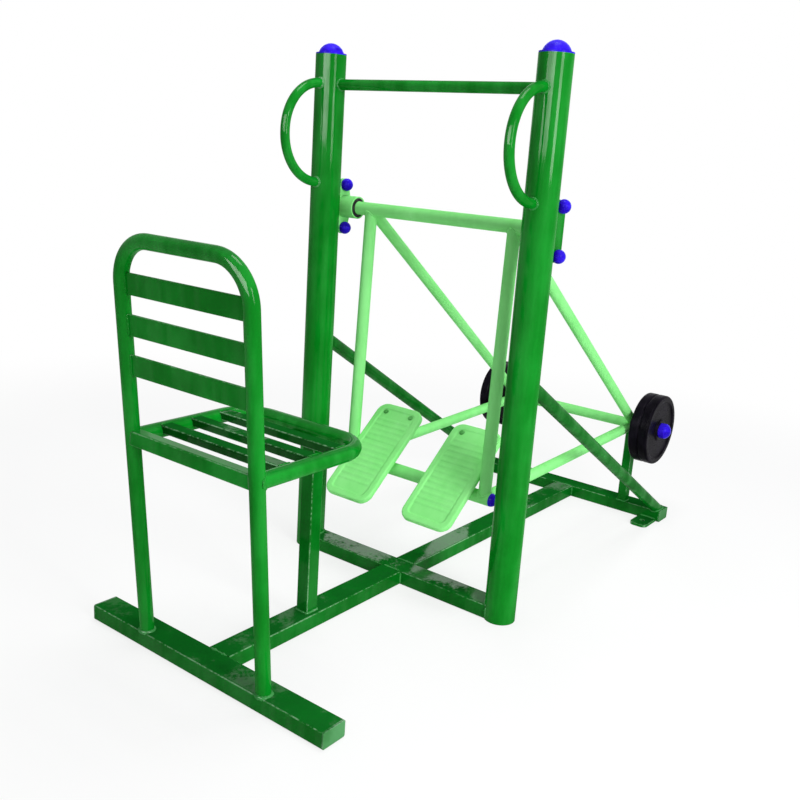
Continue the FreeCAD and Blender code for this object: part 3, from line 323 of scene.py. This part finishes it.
# rubber pads and seals, with a grey bloom
rubberBlack = {
    "name": "rubberBlack", "deep": (0.006, 0.006, 0.006), "pale": (0.05, 0.05, 0.048), "paleShare": 0.7,
    "grain": (700.0, 4.0, 0.6), "bloom": (60.0, 5.0, 0.6), "blooms": (0.4, 0.75), "roughness": 0.68,
    "roughSpread": 0.2, "shine": 0.3, "bump": (0.4, 0.0006)}


def rubberFinish(look):
    made, sheet = newFinish(look["name"])
    place = sheet.place()
    grain = sheet.noise(place, *look["grain"])
    bloom = sheet.noise(place, *look["bloom"]).step(*look["blooms"])
    sheet.surface(colour=sheet.blend(bloom * look["paleShare"], look["deep"], look["pale"]),
                  roughness=grain.around(look["roughness"], look["roughSpread"]),
                  shine=look["shine"], normal=sheet.bump(grain, *look["bump"]))
    return made


# bare steel: plated fasteners and axles, and ground bearing rings
platedSteel = {
    "name": "platedSteel", "deep": (0.32, 0.31, 0.28), "full": (0.62, 0.61, 0.57),
    "tarnish": (0.2, 0.15, 0.09), "tarnishLow": 0.56, "tarnishSpan": 0.14, "tarnishDull": 0.6,
    "tarnishRoughness": 0.3, "tarnishDepth": 0.4, "spots": (95.0, 5.0, 0.65),
    "grain": ((260.0, 40.0, 260.0), 3.0, 0.6), "grains": (0.3, 0.7), "roughness": 0.38, "roughSpread": 0.15,
    "bump": (0.2, 0.0004)}
groundSteel = {
    **platedSteel, "name": "groundSteel", "deep": (0.5, 0.51, 0.53), "full": (0.68, 0.69, 0.71),
    "tarnish": (0.3, 0.27, 0.22), "tarnishLow": 0.68, "grain": ((90.0, 900.0, 90.0), 3.0, 0.6),
    "roughness": 0.2}


def steelFinish(look):
    made, sheet = newFinish(look["name"])
    place = sheet.place()
    grain = sheet.noise(place, *look["grain"])
    spots = sheet.noise(place, *look["spots"])
    spots = spots.step(look["tarnishLow"], look["tarnishLow"] + look["tarnishSpan"])
    colour = sheet.blend(grain.step(*look["grains"]), look["deep"], look["full"])
    colour = sheet.blend(spots, colour, look["tarnish"])
    roughness = grain.around(look["roughness"], look["roughSpread"]) + spots * look["tarnishRoughness"]
    sheet.surface(colour=colour, metallic=1 - spots * look["tarnishDull"], roughness=roughness,
                  normal=sheet.bump(grain - spots * look["tarnishDepth"], *look["bump"]))
    return made


# foot plates: pressed sheet under thick paint, so the ribs and the lip are soft
footPlates = {"nodes": ("left_foot_plate", "right_foot_plate"), "voxel": 0.0014, "smoothing": 0.5,
              "rounds": 11, "keptShare": 0.25}
for name in footPlates["nodes"]:
    fine = nodes[name].modifiers.new("fineSkin", "REMESH")
    fine.mode = "VOXEL"
    fine.voxel_size = footPlates["voxel"]
    fine.use_smooth_shade = True
    soft = nodes[name].modifiers.new("thickPaint", "SMOOTH")
    soft.factor = footPlates["smoothing"]
    soft.iterations = footPlates["rounds"]
    lean = nodes[name].modifiers.new("leanSkin", "DECIMATE")
    lean.ratio = footPlates["keptShare"]
print(f"foot plates softened: {len(footPlates['nodes'])}")


# each node takes its slot's finish, apart from the nodes that are worn, painted in another way, or given
# painted light or shade
backSlats = ("lower_back_slat", "middle_back_slat", "upper_back_slat")
finishes = {
    "dark_green_paint": paintFinish(frameGreen), "light_green_paint": paintFinish(swingGreen),
    "blue_plastic": capFinish(capBlue), "black_iron": discFinish(discBlack),
    "black_rubber": rubberFinish(rubberBlack), "zinc_steel": steelFinish(platedSteel),
    "bearing_steel": steelFinish(groundSteel)}
paintedApart = (
    (beamGreen, ("front_foot_beam", "front_main_beam", "rear_foot_beam", "rear_feet", "left_rest_post",
                 "right_rest_post", "seat_support_post")),
    (walkedGreen, ("cross_beam", "rear_main_beam")), (endGreen, ("beam_end_plates",)),
    (seatShadedGreen, ("seat_slats",)), (slatGreen, (*backSlats, "seat_rear_bar")),
    (braceShadedGreen, ("left_brace", "right_brace")), (pedalLitGreen, footPlates["nodes"]),
    (screwShadedGreen, ("pedal_screws",)))
nodeFinishes = {}
for look, names in paintedApart:
    nodeFinishes.update(dict.fromkeys(names, paintFinish(look)))
for name, piece in nodes.items():
    piece.data.materials.clear()
    piece.data.materials.append(nodeFinishes.get(name) or finishes[slotOf[name]])
print(f"finishes laid on {len(nodes)} nodes")


# meshes made here ride on a body and take the finish given for them, mostly picked by slot

def newPiece(name, points, faces, body, finish):
    mesh = bpy.data.meshes.new(name)
    mesh.from_pydata(points, [], faces)
    mesh.validate()
    mesh.polygons.foreach_set("use_smooth", [True] * len(mesh.polygons))
    mesh.materials.append(finish)
    piece = bpy.data.objects.new(name, mesh)
    bpy.context.scene.collection.objects.link(piece)
    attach(piece, body)
    return piece


# weld beads: a rippled round bead along each joint between tubes
bead = {"radius": 0.0026, "tall": 0.8, "wide": 1.15, "lift": 0.12, "pitch": 0.0042, "stepsPerRipple": 3,
        "fewestSteps": 6, "sidesAround": 8, "spotsAround": 72, "rippleLow": 0.84, "rippleRise": 0.3,
        "endLow": 0.35, "endRise": 0.3, "wobble": 0.16, "seed": 11}
dice = random.Random(bead["seed"])
beadFinishes = {"dark_green_paint": paintFinish(beadGreen),
                "light_green_paint": finishes["light_green_paint"]}
up = Vector((0, 0, 1))


def onTube(middle, along, radius):  # where a line from inside a tube comes out through its wall
    middle = Vector(middle)
    along = Vector(along).normalized()

    def meet(start, direction):
        gap = start - middle
        gap -= along * gap.dot(along)
        run = direction - along * direction.dot(along)
        a, b, c = run.dot(run), 2 * gap.dot(run), gap.dot(gap) - radius ** 2
        spot = start + direction * ((math.sqrt(max(b * b - 4 * a * c, 0)) - b) / (2 * a))
        wall = spot - middle
        wall -= along * wall.dot(along)
        return spot, wall.normalized()
    return meet


def onBox(frontX, topZ):  # where a line that falls to the rear goes into a beam
    def meet(start, direction):
        toFront = (frontX - start.x) / direction.x
        toTop = (topZ - start.z) / direction.z
        wall = Vector((-1, 0, 0)) if toFront > toTop else up
        return start + direction * max(toFront, toTop), wall
    return meet


def onFlat(height):  # where a line that rises comes out through a flat top
    def meet(start, direction):
        return start + direction * ((height - start.z) / direction.z), up
    return meet


def saddle(start, direction, radius, meet):  # a closed bead where a tube meets something
    start = Vector(start)
    direction = Vector(direction).normalized()
    across = direction.orthogonal().normalized()
    beside = direction.cross(across)
    path = []
    for turn in range(bead["spotsAround"]):
        angle = 2 * math.pi * turn / bead["spotsAround"]
        rim = across * math.cos(angle) + beside * math.sin(angle)
        spot, wall = meet(start + rim * radius, direction)
        path.append((spot, (rim + wall).normalized()))
    return path, True


def straight(*corners, out):  # an open bead through corners, looking out one way
    return [(Vector(corner), Vector(out).normalized()) for corner in corners], False


def evenSteps(path, closed, gap):
    stops = path + path[:1] if closed else path
    runs = [(b[0] - a[0]).length for a, b in zip(stops, stops[1:])]
    count = max(int(sum(runs) / gap), bead["fewestSteps"])
    steps, index, passed = [], 0, 0.0
    for k in range(count if closed else count + 1):
        goal = sum(runs) * k / count
        while index < len(runs) - 1 and passed + runs[index] < goal:
            passed += runs[index]
            index += 1
        share = (goal - passed) / runs[index]
        (a, n), (b, m) = stops[index], stops[index + 1]
        steps.append((a.lerp(b, share), n.lerp(m, share).normalized()))
    return steps


def beadPoints(steps, closed, radius, lift):
    points, swell, total = [], 1.0, len(steps)
    for k, (spot, normal) in enumerate(steps):
        inRipple = k % bead["stepsPerRipple"]
        if inRipple == 0:
            swell = 1 + dice.uniform(-bead["wobble"], bead["wobble"])
        ripple = bead["rippleLow"] + bead["rippleRise"] * inRipple / bead["stepsPerRipple"]
        toEnd = min(k, total - 1 - k)
        taper = 1.0 if closed else min(1.0, bead["endLow"] + bead["endRise"] * toEnd)
        before = steps[k - 1] if closed or k else steps[k]
        after = steps[(k + 1) % total] if closed or k + 1 < total else steps[k]
        ahead = (after[0] - before[0]).normalized()
        side = ahead.cross(normal).normalized()
        middle = spot + normal * radius * lift
        for turn in range(bead["sidesAround"]):
            angle = 2 * math.pi * turn / bead["sidesAround"]
            rim = normal * math.cos(angle) * bead["tall"] + side * math.sin(angle) * bead["wide"]
            points.append(middle + rim * radius * ripple * swell * taper)
    return points


def beadFaces(first, total, closed):
    sides, faces = bead["sidesAround"], []
    for k in range(total if closed else total - 1):
        here = first + k * sides
        there = first + (k + 1) % total * sides
        for turn in range(sides):
            nextTurn = (turn + 1) % sides
            faces.append((here + turn, here + nextTurn, there + nextTurn, there + turn))
    if not closed:
        last = first + (total - 1) * sides
        faces.append(tuple(first + turn for turn in reversed(range(sides))))
        faces.append(tuple(last + turn for turn in range(sides)))
    return faces


def layBeads(name, paths, body, slot, size, lift=bead["lift"], finish=None):
    points, faces = [], []
    for path, closed in paths:
        steps = evenSteps(path, closed, bead["pitch"] * size / bead["stepsPerRipple"])
        faces += beadFaces(len(points), len(steps), closed)
        points += beadPoints(steps, closed, bead["radius"] * size, lift)
    return newPiece(name, points, faces, body, finish or beadFinishes[slot])


# sizes of the welded joints, in metres, most of them read from the frame, and of their beads

def middleOf(node):
    low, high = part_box(node)
    return (low + high) / 2


def halfOf(node):
    low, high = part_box(node)
    return (high - low) / 2


posts = {"y": middleOf("left_post").y, "radius": halfOf("left_post").x,
         "barHeight": middleOf("top_bar").z, "barRadius": halfOf("top_bar").z,
         "handleHeights": (1.179, 0.951), "handleRadius": halfOf("left_handle").y,
         "braceTop": (0.0, 0.302, 0.576), "braceFoot": (0.912, 0.306, 0.02), "braceRadius": 0.016,
         "beadSize": 1.1}


def postWelds():
    paths = []
    for side in (1, -1):
        y = side * posts["y"]
        wall = onTube((0, y, 0), up, posts["radius"])
        paths.append(saddle((0, y, posts["barHeight"]), (0, -side, 0), posts["barRadius"], wall))
        for height in posts["handleHeights"]:
            paths.append(saddle((0, y, height), (-1, 0, 0), posts["handleRadius"], wall))
        ends = (posts["braceTop"], posts["braceFoot"])
        top, foot = (Vector((x, side * reach, z)) for x, reach, z in ends)
        for meet in (wall, onBox(beams["rearX"], beams["top"])):
            paths.append(saddle(top, foot - top, posts["braceRadius"], meet))
    return layBeads("postWelds", paths, "frame", "dark_green_paint", posts["beadSize"])


beams = {"half": halfOf("front_main_beam").y, "top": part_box("front_main_beam")[1].z,
         "corner": 0.004, "cornerSteps": 4, "low": 0.004,
         "frontX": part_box("front_foot_beam")[1].x, "rearX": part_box("rear_foot_beam")[0].x,
         "footY": 0.291, "footHalf": 0.024, "footTop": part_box("rear_feet")[1].z,
         "restX": middleOf("left_rest_post").x, "restY": middleOf("left_rest_post").y,
         "restHalf": halfOf("left_rest_post").y, "supportX": middleOf("seat_support_post").x,
         "supportHalf": halfOf("seat_support_post").y, "archSteps": 6, "archLean": 0.4,
         "beadSize": 1.15, "flushSize": 2.0, "flushLift": -0.6}
beamJoints = ((beams["frontX"], 1), (-beams["half"], -1), (beams["half"], 1), (beams["rearX"], -1))


def besideBeam(x, out):  # up both sides of a main beam where it meets another beam's side
    top = beams["top"] - beams["corner"]
    walls = [(side, side * beams["half"]) for side in (1, -1)]
    return [straight((x, y, beams["low"]), (x, y, top), out=(out, side, 0)) for side, y in walls]


def overBeam(x, out):  # across the flush tops, in the groove between two rounded edges
    groove = x - out * beams["corner"] / 2
    reach = beams["half"] - beams["corner"]
    return straight((groove, -reach, beams["top"]), (groove, reach, beams["top"]), out=up)


def flushWelds():  # ground nearly flat
    paths = [overBeam(x, out) for x, out in beamJoints]
    return layBeads("flushWelds", paths, "frame", "dark_green_paint", beams["flushSize"],
                    lift=beams["flushLift"])


def squareRing(x, y, half):  # round the foot of a square post
    soft = beams["corner"]
    path = []
    for a, b in ((-1, -1), (1, -1), (1, 1), (-1, 1)):
        middle = Vector((x + a * (half - soft), y + b * (half - soft), beams["top"]))
        for turn in range(beams["cornerSteps"] + 1):
            angle = math.atan2(b, a) - math.pi / 4 + turn * math.pi / 2 / beams["cornerSteps"]
            rim = Vector((math.cos(angle), math.sin(angle), 0))
            path.append((middle + rim * soft, (rim + up).normalized()))
    return path, True


def roundPost(side):  # where the cross beam's end fits round a post: over its top and down its sides
    count = beams["archSteps"]
    reach = [k * beams["half"] / count for k in range(-count, count + 1)]
    arch = [(x, side * posts["y"] - side * math.sqrt(posts["radius"] ** 2 - x * x)) for x in reach]
    paths = [straight(*((x, y, beams["top"]) for x, y in arch), out=(0, -side, 1))]
    for x, y in (arch[0], arch[-1]):
        paths.append(straight((x, y, beams["low"]), (x, y, beams["top"] - beams["corner"]),
                              out=(math.copysign(1, x), -side * beams["archLean"], 0)))
    return paths


def beamWelds():
    paths = [path for x, out in beamJoints for path in besideBeam(x, out)]
    for side in (1, -1):
        paths += roundPost(side)
        foot = side * beams["footY"]
        paths.append(straight((beams["rearX"], foot - beams["footHalf"], beams["footTop"]),
                              (beams["rearX"], foot + beams["footHalf"], beams["footTop"]), out=(-1, 0, 1)))
        paths.append(squareRing(beams["restX"], side * beams["restY"], beams["restHalf"]))
    paths.append(squareRing(beams["supportX"], 0, beams["supportHalf"]))
    return layBeads("beamWelds", paths, "frame", "dark_green_paint", beams["beadSize"])


slatsLow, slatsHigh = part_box("seat_slats")
seat = {"legRadius": 0.015, "footX": -0.635, "lean": math.radians(4.2), "height": middleOf("seat_rim").z,
        "rimRadius": halfOf("seat_rim").z, "backHalf": halfOf(backSlats[0]).z, "backHalfThick": 0.003,
        "backSink": 0.0006, "slatWidth": 0.03, "slatCount": 3, "slatEnd": 0.1655,
        "footBeadSize": 1.6, "beadSize": 0.9}
legY = halfOf("seat_back_frame").y - seat["legRadius"]
legRise = Vector((-math.sin(seat["lean"]), 0, math.cos(seat["lean"])))
legAhead = Vector((legRise.z, 0, -legRise.x))
slatPitch = (slatsHigh.x - slatsLow.x - seat["slatWidth"]) / (seat["slatCount"] - 1)


def legX(height):
    return seat["footX"] - (height - beams["top"]) * math.tan(seat["lean"])


def legWelds():  # fat rings round the seat's feet
    paths = [saddle((legX(0.0), side * legY, 0.0), legRise, seat["legRadius"], onFlat(beams["top"]))
             for side in (1, -1)]
    return layBeads("legWelds", paths, "frame", "dark_green_paint", seat["footBeadSize"])


def seatWelds():  # under full paint
    paths = []
    for side in (1, -1):
        rimEnd = (legX(seat["height"]), side * legY, seat["height"])
        leg = onTube(rimEnd, legRise, seat["legRadius"])
        paths.append(saddle(rimEnd, (1, 0, 0), seat["rimRadius"], leg))
        inside = side * (legY - seat["legRadius"] + seat["backSink"])
        reach = legRise * seat["backHalf"]
        for height in (middleOf(slat).z for slat in backSlats):
            middle = Vector((legX(height), inside, height))
            for face in (1, -1):
                start = middle + legAhead * face * seat["backHalfThick"]
                out = legAhead * face + Vector((0, -side, 0))
                paths.append(straight(start - reach, start + reach, out=out))
        for k in range(seat["slatCount"]):
            near = slatsLow.x + k * slatPitch
            paths.append(straight((near, side * seat["slatEnd"], slatsHigh.z),
                                  (near + seat["slatWidth"], side * seat["slatEnd"], slatsHigh.z),
                                  out=(0, -side, 1)))
    return layBeads("seatWelds", paths, "frame", "dark_green_paint", seat["beadSize"],
                    finish=finishes["dark_green_paint"])


# the swing's cross tubes, as x and z of their axes, and the tubes that join them
swing = {"pivot": (0.064, 0.893), "pivotRadius": 0.016, "pedal": (0.043, 0.26), "pedalRadius": 0.016,
         "rear": (0.876, 0.281), "rearRadius": 0.015, "tubeY": 0.205, "hangerRadius": 0.015,
         "tubeRadius": 0.014, "beadSize": 0.95}
swingTubes = (("pivot", "pedal", "hangerRadius"), ("pivot", "rear", "tubeRadius"),
              ("pedal", "rear", "tubeRadius"))


def swingWelds():
    paths = []
    for side in (1, -1):
        y = side * swing["tubeY"]
        for first, second, thick in swingTubes:
            for here, there in ((first, second), (second, first)):
                (x, z), (farX, farZ) = swing[here], swing[there]
                wall = onTube((x, y, z), (0, 1, 0), swing[here + "Radius"])
                paths.append(saddle((x, y, z), (farX - x, 0, farZ - z), swing[thick], wall))
    return layBeads("swingWelds", paths, "swing", "light_green_paint", swing["beadSize"])


for made in (postWelds(), flushWelds(), beamWelds(), legWelds(), seatWelds(), swingWelds()):
    print(f"{made.name}: {len(made.data.polygons)} faces")


# a pale floor that keeps the shadow and fades to white, under a white surround
stage = {"size": 14.0, "corners": 48, "drop": 0.0005, "clearRadius": 1.5, "whiteRadius": 2.8,
         "shadowShare": 0.22, "white": 1.0, "colour": (0.86, 0.86, 0.86), "dusty": (0.85, 0.85, 0.85),
         "dust": (5.0, 3.0, 0.5), "dusts": (0.3, 0.7), "ambient": 0.44, "ambientColour": (0.97, 0.985, 1.0)}


def seenRays(sheet):  # 1 for what the camera, mirrors and glass see, 0 for the light on things
    camera = sheet.node("ShaderNodeLightPath", out="Is Camera Ray")
    glossy = sheet.node("ShaderNodeLightPath", out="Is Glossy Ray")
    through = sheet.node("ShaderNodeLightPath", out="Is Transmission Ray")
    return camera.most(glossy).most(through)


def glow(sheet, kind, colour, strength):
    return sheet.node(kind, {}, {"Color": (*colour, 1), "Strength": strength})


def whiteSurround():
    world = bpy.data.worlds.new("whiteSurround")
    world.use_nodes = True
    bpy.context.scene.world = world
    sheet = Sheet(world.node_tree)
    soft = glow(sheet, "ShaderNodeBackground", stage["ambientColour"], stage["ambient"])
    white = glow(sheet, "ShaderNodeBackground", (1, 1, 1), stage["white"])
    mixed = sheet.node("ShaderNodeMixShader", {}, {0: seenRays(sheet), 1: soft, 2: white})
    sheet.node("ShaderNodeOutputWorld", {}, {"Surface": mixed})


def floorFinish():
    made, sheet = newFinish("paleFloor")
    place = sheet.place()
    away = sheet.node("ShaderNodeVectorMath", {"operation": "LENGTH"}, {0: place}, out="Value")
    far = away.step(stage["clearRadius"], stage["whiteRadius"])
    dust = sheet.noise(place, *stage["dust"]).step(*stage["dusts"])
    colour = sheet.blend(dust, stage["dusty"], stage["colour"])
    lit = sheet.node("ShaderNodeBsdfDiffuse", {}, {"Color": colour})
    white = glow(sheet, "ShaderNodeEmission", (1, 1, 1), stage["white"])
    share = seenRays(sheet) * (1 - stage["shadowShare"] * (1 - far))
    mixed = sheet.node("ShaderNodeMixShader", {}, {0: share, 1: lit, 2: white})
    sheet.node("ShaderNodeOutputMaterial", {}, {"Surface": mixed})
    return made


def paleFloor():
    mesh = bpy.data.meshes.new("paleFloor")
    size, count = stage["size"], stage["corners"]
    turns = [2 * math.pi * k / count for k in range(count)]
    rim = [(size * math.cos(turn), size * math.sin(turn), -stage["drop"]) for turn in turns]
    mesh.from_pydata(rim, [], [tuple(range(count))])
    mesh.materials.append(floorFinish())
    floor = bpy.data.objects.new("paleFloor", mesh)
    bpy.context.scene.collection.objects.link(floor)


# soft boxes and a card that shows in the gloss alone, all aimed at the middle of the machine
softBoxes = {
    "overhead": {"place": (0.1, -0.2, 3.6), "size": (1.2, 1.2), "watts": 54.0, "lights": True},
    "frontRight": {"place": (-0.9, -3.3, 1.7), "size": (1.0, 1.6), "watts": 92.0, "lights": True},
    "rearFill": {"place": (2.6, 2.6, 1.9), "size": (2.2, 2.0), "watts": 20.0, "lights": True},
    "reflectorCard": {"place": (-3.1, -0.4, 1.8), "size": (3.2, 1.6), "watts": 300.0, "lights": False}}
aim = Vector((0.1, 0.0, 0.6))


def hangSoftBoxes():
    for name, given in softBoxes.items():
        light = bpy.data.lights.new(name, "AREA")
        light.shape = "RECTANGLE"
        light.size, light.size_y = given["size"]
        light.energy = given["watts"]
        lamp = bpy.data.objects.new(name, light)
        lamp.location = given["place"]
        lamp.rotation_euler = (aim - lamp.location).to_track_quat("-Z", "Y").to_euler()
        lamp.visible_diffuse = given["lights"]
        bpy.context.scene.collection.objects.link(lamp)


# the photo's camera, with its lens and sensor in millimetres
photoCamera = {"place": (-1.7519, -1.2906, 1.0429), "ahead": (0.7714, 0.5815, -0.2584),
               "right": (0.6145, -0.7863, 0.0649), "lens": 42.3, "sensor": 36.0}


def setCamera():
    data = bpy.data.cameras.new("photoCamera")
    data.lens = photoCamera["lens"]
    data.sensor_width = photoCamera["sensor"]
    camera = bpy.data.objects.new("photoCamera", data)
    back = -Vector(photoCamera["ahead"]).normalized()
    above = back.cross(Vector(photoCamera["right"])).normalized()
    turn = Matrix((above.cross(back), above, back)).transposed()
    camera.matrix_world = Matrix.Translation(photoCamera["place"]) @ turn.to_4x4()
    bpy.context.scene.collection.objects.link(camera)
    bpy.context.scene.camera = camera


whiteSurround()
paleFloor()
hangSoftBoxes()
setCamera()
bpy.context.scene.view_settings.view_transform = "Standard"
print("floor, light and camera set")
